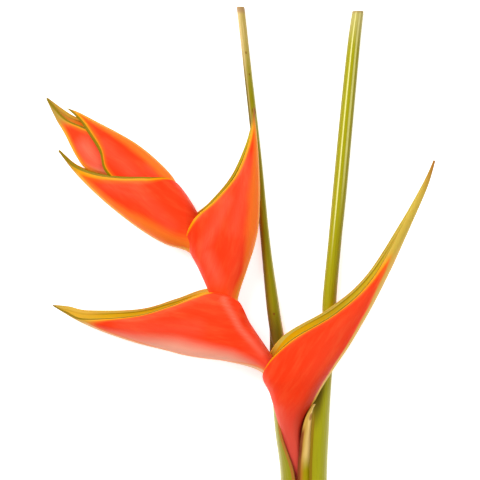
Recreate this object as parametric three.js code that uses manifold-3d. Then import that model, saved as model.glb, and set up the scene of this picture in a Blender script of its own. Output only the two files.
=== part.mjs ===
// A cut heliconia: six boat-shaped bracts on a zigzag stalk, with the two leaf stalks that grow beside it,
// laid on its back. Millimetres. +Y runs up the stem, +X to the right, +Z up from the surface it lies on.
import * as THREE from "three";
import { mergeVertices } from "three/addons/utils/BufferGeometryUtils.js";
import Module from "manifold-3d";

const wasm = await Module();
wasm.setup();

// Driving dimensions
const CLEARANCE = 0.35; // gap between pieces that touch in the plant
const CUT_Y = -137.5; // plain cut across the bottom of the stem
const BRACT_WALL = 1.4;
const KEEL_WALL = 2; // the fold of a bract is thicker than its cheeks
const RIM_THINNING = 0.45; // share of the wall lost at the free margin
const THINNEST = 0.3; // share of a narrow bract's depth that one wall may take
const KEEL_SHARPNESS = 1.2; // 1 gives an ellipse, more gives a keel like a boat's
const CLOSED_GAPE = 175; // degrees from keel to margin where a bract is wrapped round the stalk
const OPEN_GAPE = 106; // degrees from keel to margin along the open boat
const OPENING_LENGTH = 1.6; // stations over which the wrapped base opens into the boat
const STEPS_PER_STATION = 2;
const CHEEK_STEPS = 5; // facets from keel to margin on each cheek
const STALK_SIDES = 12;
const SHEATH_STEPS = 9; // facets along each face of a leaf sheath
const BUD_RADIUS = 2.4;
const BUD_SIDES = 8;

// Finishes: colour, roughness
const FINISHES = {
  bract: [0xfb4a1e, 0.42],
  stalk: [0xc2502c, 0.5],
  leaf: [0x958f24, 0.48],
  inner_sheath: [0xcfa95a, 0.55],
  bud: [0xd9cf86, 0.5],
};

// Each bract is given at stations from its base to its tip. A station holds the keel's place, the near
// margin's place, the height of the middle plane, half the thickness, and how far the far margin stands
// out past the near one. The mouth opens at station mouthAt. On odd bracts it faces left of the keel.
const STATION_NAMES = ["keelX", "keelY", "rimX", "rimY", "z", "half", "lift"];
const BRACTS = [
  {
    mouthAt: 2.5,
    stations: [
      [40.5, -129, 28.5, -129, 11.8, 5.7, 0],
      [34.5, -97, 21.7, -96, 14, 6.6, 0],
      [42, -78, 16.5, -77, 17.5, 9, 0],
      [50.5, -63.5, 12.5, -64, 19.5, 11, 0],
      [60, -48, 26, -47, 20, 11.2, 3],
      [71.5, -28.5, 52, -31, 19.5, 9, 2],
      [83, -6, 71.5, -13, 18.8, 6.3, 1],
      [95, 19.5, 89.5, 17.5, 18, 3.2, 0.3],
      [103, 38, 101, 39.5, 17.2, 1.3, 0],
      [107, 51.5, 106, 52, 16.8, 0.5, 0],
    ],
  },
  {
    mouthAt: 2.5,
    stations: [
      [18.5, -76, 30, -71, 19, 5.4, 0],
      [11.5, -64, 17, -54, 18.8, 6.2, 0],
      [-7, -58.5, 6, -38, 16.5, 8.5, 0],
      [-26, -56, -1.5, -25, 14, 10.6, 0],
      [-41, -52.5, -17, -20.5, 11.4, 10.9, 1.2],
      [-57, -48.5, -36, -27, 10.6, 9.3, 2],
      [-74, -43, -56, -33, 10, 6.8, 2.3],
      [-88, -37, -85, -35, 9.6, 3.6, 5],
      [-97, -32, -96, -31, 9.4, 1.8, 3],
      [-103.5, -28, -103, -27.5, 9.2, 0.5, 0],
    ],
  },
  {
    mouthAt: 2.5,
    stations: [
      [-1.5, -36, -13, -40, 15.6, 5.2, 0],
      [-2, -24, -16, -24, 15.2, 6.6, 0],
      [3, -9, -22.5, -8.5, 14.8, 9.2, 0],
      [8, 5, -29.5, 7, 14.4, 10.8, 0],
      [10.5, 18, -25, 19.5, 14.2, 10.9, 1.5],
      [11, 34, -14, 29.5, 13.8, 9.2, 2],
      [10.5, 50, -3, 42.5, 13.4, 6.6, 2],
      [9.5, 63.5, 3.5, 57.5, 13, 3.9, 1],
      [8.5, 73.5, 6.5, 70, 12.7, 1.8, 0.3],
      [8, 81.5, 7.5, 81.5, 12.5, 0.5, 0],
    ],
  },
  {
    mouthAt: 2.5,
    stations: [
      [-21, -5, -10.5, -1, 14, 5, 0],
      [-29, 2, -18.5, 13, 13.3, 6.6, 0],
      [-41, 6, -26, 28, 12, 8.8, 0],
      [-53, 13.5, -36.5, 41, 10.6, 10, 0],
      [-63, 21, -50, 42.5, 9.8, 9.4, 1],
      [-74, 30, -65, 43, 9.6, 7, 1],
      [-84, 39.5, -79, 45, 9.4, 4.6, 1],
      [-92, 48.5, -90.5, 49.5, 9.2, 2.2, 0.5],
      [-99.5, 57.5, -99, 58, 9, 0.5, 0],
    ],
  },
  {
    mouthAt: 1.5,
    stations: [
      [-32, 31.5, -42, 26, 12.4, 4, 0],
      [-38.5, 41, -52, 30, 11.8, 5, 0],
      [-46.5, 52, -63.5, 36, 11.2, 6.4, 0],
      [-57.5, 61, -74, 46, 10.6, 6.8, 0],
      [-68.5, 67.5, -77, 56.5, 10.3, 5.6, 0.7],
      [-79.5, 73.5, -83, 66.5, 10.1, 3.4, 0.7],
      [-88.5, 78.5, -88.5, 74.5, 9.9, 1.6, 0],
      [-95.5, 81, -95, 80.5, 9.8, 0.5, 0],
    ],
  },
  {
    mouthAt: 1.5,
    stations: [
      [-61, 40.5, -55.5, 46, 11, 2.6, 0],
      [-73, 43, -62.5, 54.5, 10.6, 3.6, 0],
      [-83.5, 47.5, -71, 62.5, 10.3, 4, 0],
      [-89.5, 55.5, -78, 68, 10.1, 3.9, 1],
      [-96, 68, -86, 70.5, 10, 3, 4],
      [-100.5, 75.5, -96.5, 75.5, 9.9, 2, 3.5],
      [-106.5, 86, -106, 86.5, 9.8, 0.5, 0],
    ],
  },
];

// The flower stalk: centre and radius, from the cut to the end inside the last bract
const STALK = [
  [34.6, CUT_Y, 11.8, 4],
  [34.4, -126, 11.9, 3.9],
  [28.2, -97, 14, 3.9],
  [24.6, -78, 17.8, 3.7],
  [14.2, -59.2, 18.8, 3.5],
  [3.5, -47.5, 17.2, 3.4],
  [-7.2, -38, 15.6, 3.3],
  [-9.5, -24, 15.2, 3.3],
  [-15.8, -3, 14.1, 3.2],
  [-23.8, 9, 13.2, 3],
  [-36.5, 29, 12.4, 2.7],
  [-45, 35.8, 11.8, 2.4],
  [-58.2, 43.2, 11, 1.4],
  [-67, 49, 10.7, 1],
];

// A leaf is a wall rolled into an arc: its sheath at the foot is thin and wide, and its stalk above is so
// tightly rolled that only a groove is left. Stations: y, x, z, radius across, radius up, first angle,
// last angle, wall. Angles are in degrees from +X towards +Z.
const ROLL_NAMES = ["y", "x", "z", "across", "up", "from", "to", "wall"];
const LEAF_LEFT = [
  [CUT_Y, 35, 11.6, 12.6, 11.6, 108, 262, 2],
  [-118, 34.6, 11.6, 12.5, 11.6, 112, 262, 2],
  [-98, 31.5, 11, 12, 11, 166, 268, 1.5],
  [-82, 27, 9, 8.9, 9, 172, 300, 2.3],
  [-62, 22.5, 5, 6, 5, 150, 388, 2.6],
  [-43, 20.1, 4.1, 4.1, 4.1, 130, 410, 3],
  [-25, 17.8, 3.5, 3.4, 3.5, 122, 418, 2.6],
  [8, 14, 2.6, 2.5, 2.6, 112, 428, 2],
  [56, 9.4, 2.4, 2.4, 2.4, 112, 428, 1.9],
  [107, 3.7, 2.2, 2.1, 2.2, 112, 428, 1.7],
  [137.5, 0.3, 2.2, 2.2, 2.2, 112, 428, 1.7],
];
const LEAF_RIGHT = [
  [CUT_Y, 35, 11.6, 12.6, 11.6, -92, 72, 2],
  [-116, 35.2, 11.6, 12.7, 11.6, -92, 72, 2],
  [-98, 36.5, 11.4, 12.3, 11.4, -95, 64, 2.1],
  [-84, 38.5, 10, 11, 10, -110, 48, 2.3],
  [-65, 44, 6.4, 7, 6.4, -160, 40, 2.6],
  [-45, 49.3, 4.3, 4.4, 4.3, -232, 54, 3],
  [-25, 49.6, 3.9, 3.9, 3.9, -248, 68, 3],
  [8, 52.6, 3.7, 3.7, 3.7, -248, 68, 2.9],
  [36, 55.3, 3.9, 3.9, 3.9, -248, 68, 3],
  [80, 59.4, 3.8, 3.8, 3.8, -248, 68, 3],
  [118, 63.2, 3.5, 3.5, 3.5, -248, 68, 2.8],
  [135, 65.4, 3.2, 3.2, 3.2, -248, 68, 2.5],
];
const INNER_SHEATH = [
  [CUT_Y, 34.8, 11.8, 9.9, 8.9, -70, 115, 1.5],
  [-118, 34.6, 11.8, 9.9, 8.9, -70, 112, 1.5],
  [-108, 34.6, 11.8, 9.9, 8.9, -60, 101, 1.5],
  [-97, 35, 11.8, 9.9, 8.9, -35, 92, 1.4],
  [-88, 35.3, 11.8, 9.9, 8.9, 10, 78, 1.3],
  [-81.5, 35.5, 11.8, 9.9, 8.9, 53, 60, 1.2],
];

// Flower buds stand in the axils of the open bracts: bract number, foot, tip, and height above the surface
const BUDS = [
  [1, [31, -66], [47, -44], 16.6],
  [1, [33, -70], [55, -50], 18.6],
  [1, [30, -61], [54, -38], 22.4],
  [2, [-12, -46], [-32, -31], 10],
  [2, [-14, -49], [-36, -36], 16.4],
  [2, [-18, -50], [-42, -39], 12.6],
  [3, [-6, -6], [-8, 20], 11.4],
  [3, [-2, -4], [-1, 24], 17.2],
];

const lerp = THREE.MathUtils.lerp;
const radians = THREE.MathUtils.degToRad;

// Values by name at a place along a list of stations, on a smooth curve through all of them.
function along(stations, names, place) {
  const low = Math.min(Math.floor(place), stations.length - 2);
  const before = stations[Math.max(low - 1, 0)];
  const after = stations[Math.min(low + 2, stations.length - 1)];
  const share = place - low;
  const made = {};
  names.forEach((name, i) => {
    const a = stations[low][i];
    const b = stations[low + 1][i];
    const slopeA = (b - before[i]) / 2;
    const slopeB = (after[i] - a) / 2;
    const cube = (2 * a - 2 * b + slopeA + slopeB) * share ** 3;
    const square = (3 * b - 3 * a - 2 * slopeA - slopeB) * share ** 2;
    made[name] = cube + square + slopeA * share + a;
  });
  return made;
}

// Evenly spread places from the first station to the last.
function places(stations, stepsPerStation) {
  const spans = stations.length - 1;
  const count = Math.round(spans * stepsPerStation);
  return Array.from({ length: count + 1 }, (_, i) => (i / count) * spans);
}

function geometryOf(points, faces) {
  const flat = points.flatMap((p) => [p.x, p.y, p.z]);
  const geometry = new THREE.BufferGeometry();
  geometry.setAttribute("position", new THREE.Float32BufferAttribute(flat, 3));
  geometry.setIndex(faces);
  return geometry;
}

// A manifold-3d solid from a closed geometry, turned so that its faces point out.
function solidOf(geometry) {
  const bare = geometry.clone();
  bare.deleteAttribute("normal");
  bare.deleteAttribute("uv");
  const merged = mergeVertices(bare, 1e-4);
  const vertProperties = new Float32Array(merged.attributes.position.array);
  const triVerts = new Uint32Array(merged.index.array);
  const solid = new wasm.Manifold(new wasm.Mesh({ numProp: 3, vertProperties, triVerts }));
  if (solid.volume() > 0) return solid;
  const reversed = triVerts.reverse();
  return new wasm.Manifold(new wasm.Mesh({ numProp: 3, vertProperties, triVerts: reversed }));
}

// The geometry of a solid's largest body: a cut may leave slivers beside it.
function largestBody(solid) {
  const bodies = solid.decompose();
  bodies.sort((a, b) => b.volume() - a.volume());
  const mesh = bodies[0].getMesh();
  const positions = new THREE.BufferAttribute(new Float32Array(mesh.vertProperties), 3);
  const geometry = new THREE.BufferGeometry().setAttribute("position", positions);
  return geometry.setIndex(new THREE.BufferAttribute(new Uint32Array(mesh.triVerts), 1));
}

// A wall between an outer and an inner sheet of rows: both faces, the two side edges and the two ends.
function wallGeometry(outer, inner) {
  const rows = outer.length;
  const columns = outer[0].length;
  const points = [...outer.flat(), ...inner.flat()];
  const at = (sheet, row, column) => (sheet * rows + row) * columns + column;
  const faces = [];
  const quad = (a, b, c, d) => faces.push(a, b, c, a, c, d);
  for (let r = 0; r + 1 < rows; r++) {
    for (let c = 0; c + 1 < columns; c++) {
      quad(at(0, r, c), at(0, r, c + 1), at(0, r + 1, c + 1), at(0, r + 1, c));
      quad(at(1, r, c), at(1, r + 1, c), at(1, r + 1, c + 1), at(1, r, c + 1));
    }
    const last = columns - 1;
    quad(at(0, r, 0), at(0, r + 1, 0), at(1, r + 1, 0), at(1, r, 0));
    quad(at(0, r, last), at(1, r, last), at(1, r + 1, last), at(0, r + 1, last));
  }
  const top = rows - 1;
  for (let c = 0; c + 1 < columns; c++) {
    quad(at(0, 0, c), at(1, 0, c), at(1, 0, c + 1), at(0, 0, c + 1));
    quad(at(0, top, c), at(0, top, c + 1), at(1, top, c + 1), at(1, top, c));
  }
  return geometryOf(points, faces);
}

// A solid through closed rings, each end closed by a fan round its middle.
function ringGeometry(rings) {
  const sides = rings[0].length;
  const points = rings.flat();
  const faces = [];
  for (let r = 0; r + 1 < rings.length; r++) {
    for (let s = 0; s < sides; s++) {
      const next = (s + 1) % sides;
      const [a, b] = [r * sides + s, r * sides + next];
      faces.push(a, b, b + sides, a, b + sides, a + sides);
    }
  }
  for (const end of [0, rings.length - 1]) {
    const middle = new THREE.Vector3();
    rings[end].forEach((p) => middle.addScaledVector(p, 1 / sides));
    const centre = points.push(middle) - 1;
    for (let s = 0; s < sides; s++) {
      const [a, b] = [end * sides + s, end * sides + ((s + 1) % sides)];
      faces.push(...(end ? [a, b, centre] : [b, a, centre]));
    }
  }
  return geometryOf(points, faces);
}

// The angle from keel to margin: wide where the bract is wrapped round the stalk, then that of a boat.
function gapeAt(bract, place) {
  const opened = THREE.MathUtils.smoothstep(place, bract.mouthAt, bract.mouthAt + OPENING_LENGTH);
  return radians(lerp(CLOSED_GAPE, OPEN_GAPE, opened));
}

// One row across a bract, from near margin round the keel to far margin, moved inwards by a wall
// thickness, or outwards if it is negative.
function bractRow(bract, side, place, wall, keelWall) {
  const s = along(bract.stations, STATION_NAMES, place);
  const ahead = along(bract.stations, STATION_NAMES, place + 0.01);
  const heading = new THREE.Vector2(ahead.keelX - s.keelX, ahead.keelY - s.keelY).normalize();
  const outward = new THREE.Vector2(-heading.y, heading.x).multiplyScalar(side * s.lift);
  const keel = new THREE.Vector2(s.keelX, s.keelY);
  const gape = gapeAt(bract, place);
  const wrapped = Math.max(-Math.cos(gape), 0);
  return Array.from({ length: 2 * CHEEK_STEPS + 1 }, (_, i) => {
    const turn = (i - CHEEK_STEPS) / CHEEK_STEPS;
    const rim = new THREE.Vector2(s.rimX, s.rimY);
    if (turn > 0) rim.add(outward);
    const angle = Math.abs(turn) * gape;
    const depth = rim.distanceTo(keel);
    const share = (1 - Math.cos(angle)) / (1 - Math.cos(gape));
    const near = Math.min(keelWall, depth * THINNEST);
    const far = wall < 0 ? depth - 3 * wall : depth - Math.min(wall * wrapped, depth * THINNEST);
    const spot = keel.clone().lerp(rim, lerp(near, far, share) / depth);
    const thinning = wall > 0 ? RIM_THINNING * Math.abs(turn) ** 4 : 0;
    const half = s.half - Math.min(wall * (1 - thinning), s.half / 2);
    const z = s.z - Math.sign(turn) * half * Math.sin(angle) ** KEEL_SHARPNESS;
    return new THREE.Vector3(spot.x, spot.y, z);
  });
}

function bractRows(number, wall, keelWall) {
  const bract = BRACTS[number - 1];
  const side = number % 2 ? 1 : -1;
  const spread = places(bract.stations, STEPS_PER_STATION);
  return spread.map((place) => bractRow(bract, side, place, wall, keelWall));
}

function bractWall(number) {
  return solidOf(wallGeometry(bractRows(number, 0, 0), bractRows(number, BRACT_WALL, KEEL_WALL)));
}

// The whole space that a bract takes up, with its mouth closed, grown by the clearance.
function bractSpace(number) {
  return solidOf(ringGeometry(bractRows(number, -CLEARANCE, -CLEARANCE)));
}

// The flower stalk as a round solid, its radius grown by a clearance.
function stalkSolid(grown) {
  const middles = STALK.map(([x, y, z]) => new THREE.Vector3(x, y, z));
  const spine = new THREE.CatmullRomCurve3(middles);
  const names = ["x", "y", "z", "radius"];
  const rings = places(STALK, STEPS_PER_STATION).map((place) => {
    const share = place / (STALK.length - 1);
    const middle = spine.getPoint(share);
    const heading = spine.getTangent(share);
    const across = new THREE.Vector3(heading.y, -heading.x, 0).normalize();
    const up = new THREE.Vector3().crossVectors(across, heading);
    const radius = along(STALK, names, place).radius + grown;
    return Array.from({ length: STALK_SIDES }, (_, i) => {
      const angle = (i / STALK_SIDES) * 2 * Math.PI;
      const point = middle.clone().addScaledVector(across, radius * Math.cos(angle));
      point.addScaledVector(up, radius * Math.sin(angle));
      if (place === 0) point.y = CUT_Y;
      return point;
    });
  });
  return solidOf(ringGeometry(rings));
}

// One row across a rolled leaf wall, from its first angle to its last.
function rollRow(stations, place, inset) {
  const s = along(stations, ROLL_NAMES, place);
  return Array.from({ length: SHEATH_STEPS + 1 }, (_, i) => {
    const angle = radians(lerp(s.from, s.to, i / SHEATH_STEPS));
    const x = s.x + (s.across - inset * s.wall) * Math.cos(angle);
    const z = s.z + (s.up - inset * s.wall) * Math.sin(angle);
    return new THREE.Vector3(x, s.y, z);
  });
}

function rolledLeaf(stations) {
  const spread = places(stations, 2);
  const outer = spread.map((place) => rollRow(stations, place, 0));
  const inner = spread.map((place) => rollRow(stations, place, 1));
  return solidOf(wallGeometry(outer, inner));
}

// A closed bud: a spindle on a short stalk, turned from +Y to the line from its foot to its tip.
function budSolid(foot, tip, z) {
  const start = new THREE.Vector3(...foot, z);
  const end = new THREE.Vector3(...tip, z);
  const length = start.distanceTo(end);
  const profile = [
    [0, 0],
    [0.45, 0],
    [0.5, 0.12],
    [0.9, 0.3],
    [1, 0.55],
    [0.75, 0.8],
    [0.3, 0.96],
    [0, 1],
  ].map(([across, up]) => new THREE.Vector2(across * BUD_RADIUS, up * length));
  const geometry = new THREE.LatheGeometry(profile, BUD_SIDES);
  const direction = end.clone().sub(start).normalize();
  const turn = new THREE.Quaternion().setFromUnitVectors(new THREE.Vector3(0, 1, 0), direction);
  geometry.applyQuaternion(turn);
  geometry.translate(start.x, start.y, start.z);
  return solidOf(geometry);
}

const heliconia = new THREE.Group();

function add(name, solid, finish) {
  const [color, roughness] = FINISHES[finish];
  const material = new THREE.MeshStandardMaterial({ color, roughness, metalness: 0 });
  const mesh = new THREE.Mesh(largestBody(solid), material);
  mesh.name = name;
  heliconia.add(mesh);
}

add("flower_stalk", stalkSolid(0), "stalk");
const stalkSpace = stalkSolid(CLEARANCE);

// Each bract opens round the stalk and round every bract that grows out of it.
BRACTS.forEach((_, i) => {
  const number = i + 1;
  let wall = bractWall(number).subtract(stalkSpace);
  for (let later = number + 1; later <= BRACTS.length; later++) {
    wall = wall.subtract(bractSpace(later));
  }
  add("bract_" + number, wall, "bract");
});

const leafLeft = rolledLeaf(LEAF_LEFT);
const leafRight = rolledLeaf(LEAF_RIGHT);
add("leaf_stalk_left", leafLeft, "leaf");
add("leaf_stalk_right", leafRight, "leaf");
add("inner_sheath", rolledLeaf(INNER_SHEATH), "inner_sheath");

const budCounts = {};
BUDS.forEach(([bract, foot, tip, z]) => {
  budCounts[bract] = (budCounts[bract] ?? 0) + 1;
  add(`flower_bud_${bract}_${budCounts[bract]}`, budSolid(foot, tip, z), "bud");
});

export default heliconia;
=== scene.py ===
import math

import bmesh
import bpy
import numpy as np
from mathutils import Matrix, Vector, noise


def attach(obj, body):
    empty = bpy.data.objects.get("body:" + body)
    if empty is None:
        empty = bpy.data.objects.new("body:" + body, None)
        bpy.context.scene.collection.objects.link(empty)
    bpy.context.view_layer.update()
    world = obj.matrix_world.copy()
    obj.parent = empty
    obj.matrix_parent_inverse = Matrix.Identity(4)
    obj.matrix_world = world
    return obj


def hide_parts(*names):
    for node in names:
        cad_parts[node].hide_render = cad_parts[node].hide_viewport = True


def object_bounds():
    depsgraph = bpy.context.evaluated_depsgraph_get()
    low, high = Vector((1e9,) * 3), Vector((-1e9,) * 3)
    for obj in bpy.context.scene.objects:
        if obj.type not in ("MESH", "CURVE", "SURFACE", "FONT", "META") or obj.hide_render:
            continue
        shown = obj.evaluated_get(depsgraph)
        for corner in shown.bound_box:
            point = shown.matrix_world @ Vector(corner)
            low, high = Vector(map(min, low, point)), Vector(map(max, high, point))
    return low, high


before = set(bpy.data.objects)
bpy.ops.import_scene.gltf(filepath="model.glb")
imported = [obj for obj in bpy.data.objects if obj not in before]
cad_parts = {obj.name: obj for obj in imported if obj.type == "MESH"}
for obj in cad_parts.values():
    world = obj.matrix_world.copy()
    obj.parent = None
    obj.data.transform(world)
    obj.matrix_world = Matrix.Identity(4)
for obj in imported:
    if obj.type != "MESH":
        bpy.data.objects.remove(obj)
cad_low, cad_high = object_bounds()

# ------------------------------------------------------------------------------------------
# Flower stalk: the fleshy axis that climbs in a zigzag from bract to bract. It grows up inside
# the leaf sheaths, where only a red-brown seam of it shows, and ends, thin, in the last bract.

MM = 0.001
MIDDLE = Vector(((cad_low.x + cad_high.x) / 2, (cad_low.y + cad_high.y) / 2, cad_low.z))
CUT_Y = (cad_low.y - MIDDLE.y) / MM  # the plain cut across the bottom of the stem

# Millimetres from the middle of the box's floor: x, y, z, radius
STALK_PATH = [
    [34.6, CUT_Y, 11.8, 4], [34.4, -126, 11.9, 3.9], [28.2, -97, 14, 3.9], [24.6, -78, 17.8, 3.7],
    [14.2, -59.2, 18.8, 3.5], [3.5, -47.5, 17.2, 3.4], [-7.2, -38, 15.6, 3.3], [-9.5, -24, 15.2, 3.3],
    [-15.8, -3, 14.1, 3.2], [-23.8, 9, 13.2, 3], [-36.5, 29, 12.4, 2.7], [-45, 35.8, 11.8, 2.4],
    [-58.2, 43.2, 11, 1.4], [-67, 49, 10.7, 1],
]
STALK_SIDES = 40
STALK_STEP = 1.0  # mm between rings
STALK_RIDGES = 0.03  # share of the girth by which its soft lengthwise ridges stand out
STALK_RIDGE_COUNT = 9
STALK_SHADES = {"low": (146, 62, 22), "high": (238, 70, 20), "fibre": (186, 98, 40)}
STALK_GLOSS = {"Specular IOR Level": 0.3, "Specular Tint": (1, 0.55, 0.3, 1)}
STALK_GRAIN = 900.0
STALK_LOW = (0.1, 0.3)  # shares of its length between which the low colour gives way to the high
STALK_FIBRES = (0.5, 0.75)
STALK_FIBRE_STRENGTH = 0.6
STALK_RELIEF = 0.15  # mm


class Wire:
    """A socket of a node tree. Arithmetic on it adds the Math nodes that work it out."""

    def __init__(self, tree, socket):
        self.tree = tree
        self.socket = socket

    def node(self, kind, settings=None, sockets=None, out=0):
        """Adds a node: its settings come first, then the values or links of its sockets."""
        made = self.tree.nodes.new(kind)
        for name, value in (settings or {}).items():
            if name == "stops":
                fill_ramp(made.color_ramp, value)
            else:
                setattr(made, name, value)
        for key, value in (sockets or {}).items():
            if isinstance(value, Wire):
                self.tree.links.new(value.socket, made.inputs[key])
            else:
                made.inputs[key].default_value = value
        return Wire(self.tree, made.outputs[out])

    def math(self, operation, *others):
        return self.node("ShaderNodeMath", {"operation": operation}, dict(enumerate((self, *others))))

    def __add__(self, other):
        return self.math("ADD", other)

    __radd__ = __add__

    def __sub__(self, other):
        return self.math("SUBTRACT", other)

    def __rsub__(self, other):
        return (self * -1) + other

    def __mul__(self, other):
        return self.math("MULTIPLY", other)

    __rmul__ = __mul__

    def rise(self, low, high):
        """0 below low, 1 above high and a smooth rise between; low above high makes it a fall."""
        settings = {"interpolation_type": "SMOOTHSTEP", "clamp": True}
        return self.node("ShaderNodeMapRange", settings, {0: self, 1: low, 2: high})

    def through(self, ends):
        """This as it is, or its rise between two ends, or its rise and fall through four."""
        if not ends:
            return self
        rise = self.rise(*ends[:2])
        return rise * self.rise(*ends[:1:-1]) if len(ends) > 2 else rise

    def mix(self, first, second):
        """The first colour where this is 0, and the second where it is 1."""
        sockets = {0: self, 6: first, 7: second}
        return self.node("ShaderNodeMix", {"data_type": "RGBA"}, sockets, out=2)

    def field(self, name):
        """A number that the mesh holds at each point."""
        return self.node("ShaderNodeAttribute", {"attribute_name": name}, out=2)

    def grain(self, place, scale, detail=3.0):
        """Cloudy noise from 0 to 1 at a place."""
        sockets = {"Vector": place, "Scale": scale, "Detail": detail, "Roughness": 0.55}
        return self.node("ShaderNodeTexNoise", {"normalize": True}, sockets)

    def speckle(self, scale):
        """Noise that is even all over a piece."""
        return self.grain(self.node("ShaderNodeTexCoord", out=3), scale)

    def streaks(self, stretch, detail=3.0):
        """Noise drawn out along the fibres, whose places the mesh holds."""
        place = self.node("ShaderNodeAttribute", {"attribute_name": "fibre"}, out=1)
        sockets = {0: place, 1: stretch}
        drawn = self.node("ShaderNodeVectorMath", {"operation": "MULTIPLY"}, sockets)
        return self.grain(drawn, 1.0, detail)


def fill_ramp(ramp, stops):
    while len(ramp.elements) > 1:
        ramp.elements.remove(ramp.elements[-1])
    for i, (place, colour) in enumerate(stops):
        element = ramp.elements.new(place) if i else ramp.elements[0]
        element.position = place
        element.color = colour


def shade(colour):
    """A screen colour from 0 to 255 as the light that a surface returns."""
    linear = [(c / 255 / 12.92 if c <= 10 else ((c / 255 + 0.055) / 1.055) ** 2.4) for c in colour]
    return (*linear, 1.0)


def material(name, fixed, paint):
    """A material: fixed numbers on the shader's own sockets, and what paint gives for the rest."""
    made = bpy.data.materials.new(name)
    made.use_nodes = True
    tree = made.node_tree
    surface = tree.nodes["Principled BSDF"]
    for key, value in fixed.items():
        surface.inputs[key].default_value = value
    colour, roughness, height, depth = paint(Wire(tree, None))
    tree.links.new(colour.socket, surface.inputs["Base Color"])
    tree.links.new(roughness.socket, surface.inputs["Roughness"])
    bump = height.node("ShaderNodeBump", None, {"Height": height, "Strength": 1.0, "Distance": depth * MM})
    tree.links.new(bump.socket, surface.inputs["Normal"])
    return made


def new_tree(name, inputs):
    """A Geometry Nodes tree with named inputs, and those inputs as wires."""
    tree = bpy.data.node_groups.new(name, "GeometryNodeTree")
    sockets = {"Geometry": "Geometry", **inputs}
    for label, kind in sockets.items():
        tree.interface.new_socket(label, in_out="INPUT", socket_type=f"NodeSocket{kind}")
    tree.interface.new_socket("Geometry", in_out="OUTPUT", socket_type="NodeSocketGeometry")
    start = tree.nodes.new("NodeGroupInput")
    return tree, {label: Wire(tree, start.outputs[label]) for label in sockets}


def dressed(shape, finish):
    return shape.node("GeometryNodeSetMaterial", None, {"Geometry": shape, "Material": finish})


def end_tree(shape):
    last = shape.tree.nodes.new("NodeGroupOutput")
    shape.tree.links.new(shape.socket, last.inputs["Geometry"])


def grow(piece, tree, values):
    """Runs a tree on a piece and keeps the result as the piece's plain mesh."""
    modifier = piece.modifiers.new(tree.name, "NODES")
    modifier.node_group = tree
    for item in tree.interface.items_tree:
        if item.in_out == "INPUT" and item.name in values:
            modifier[item.identifier] = values[item.name]
    piece.update_tag()
    graph = bpy.context.evaluated_depsgraph_get()
    graph.update()
    mesh = bpy.data.meshes.new_from_object(piece.evaluated_get(graph), depsgraph=graph)
    piece.modifiers.remove(modifier)
    piece.data = mesh
    mesh.name = piece.name


def new_piece(name, points, edges, faces):
    """An object at the origin whose points are given in millimetres from the middle."""
    mesh = bpy.data.meshes.new(name)
    places = np.asarray(points, float).reshape(-1, 3) * MM + np.array(MIDDLE)
    mesh.from_pydata(places.tolist(), edges, faces)
    piece = bpy.data.objects.new(name, mesh)
    bpy.context.scene.collection.objects.link(piece)
    return piece


def hold(piece, name, values):
    """Stores numbers, or places, on the points of a piece's mesh."""
    values = np.asarray(values, np.float32)
    kind, key = ("FLOAT_VECTOR", "vector") if values.ndim > 1 else ("FLOAT", "value")
    piece.data.attributes.new(name, kind, "POINT").data.foreach_set(key, values.ravel())


def spine(name, path):
    """A line through the rows of a path, with the girth at each point."""
    path = np.array(path, float)
    count = len(path)
    piece = new_piece(name, path[:, :3], [(i, i + 1) for i in range(count - 1)], [])
    hold(piece, "girth", path[:, 3] * MM)
    return piece


def tube_along(wires, ridge_count):
    """A ridged tube on a smooth curve through the spine, with its share of the length stored."""
    line = wires["Geometry"]
    curve = line.node("GeometryNodeMeshToCurve", None, {"Mesh": line})
    smooth = line.node("GeometryNodeCurveSplineType", {"spline_type": "CATMULL_ROM"}, {"Curve": curve})
    steps = {"Curve": smooth, "Length": wires["Step"]}
    even = line.node("GeometryNodeResampleCurve", {"mode": "LENGTH"}, steps)
    share = line.node("GeometryNodeSplineParameter")
    settings = {"data_type": "FLOAT", "domain": "POINT"}
    marked = line.node("GeometryNodeStoreNamedAttribute", settings, {0: even, 2: "along", 3: share})
    round_line = {"Resolution": wires["Sides"], "Radius": 1.0}
    ring = line.node("GeometryNodeCurvePrimitiveCircle", None, round_line)
    spot = line.node("GeometryNodeInputPosition")
    x = line.node("ShaderNodeSeparateXYZ", None, {0: spot})
    y = Wire(line.tree, x.socket.node.outputs[1])
    angle = y.math("ARCTAN2", x)
    size = (angle * ridge_count).math("COSINE") * wires["Ridges"] + 1
    place = line.node("ShaderNodeVectorMath", {"operation": "SCALE"}, {0: spot, "Scale": size})
    profile = line.node("GeometryNodeSetPosition", None, {"Geometry": ring, "Position": place})
    girth = line.node("GeometryNodeInputNamedAttribute", {"data_type": "FLOAT"}, {"Name": "girth"})
    parts = {"Curve": marked, "Profile Curve": profile, "Scale": girth, "Fill Caps": True}
    tube = line.node("GeometryNodeCurveToMesh", None, parts)
    real = line.node("GeometryNodeRealizeInstances", None, {"Geometry": tube})
    return dressed(real, wires["Finish"])


TUBE_INPUTS = {
    "Step": "Float",
    "Sides": "Int",
    "Ridges": "Float",
    "Finish": "Material",
}


def paint_stalk(start):
    along = start.field("along")
    streak = start.speckle(STALK_GRAIN)
    tone = along.rise(*STALK_LOW).mix(shade(STALK_SHADES["low"]), shade(STALK_SHADES["high"]))
    fibres = streak.rise(*STALK_FIBRES) * STALK_FIBRE_STRENGTH
    colour = fibres.mix(tone, shade(STALK_SHADES["fibre"]))
    return colour, streak * 0.2 + 0.34, streak, STALK_RELIEF


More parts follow.
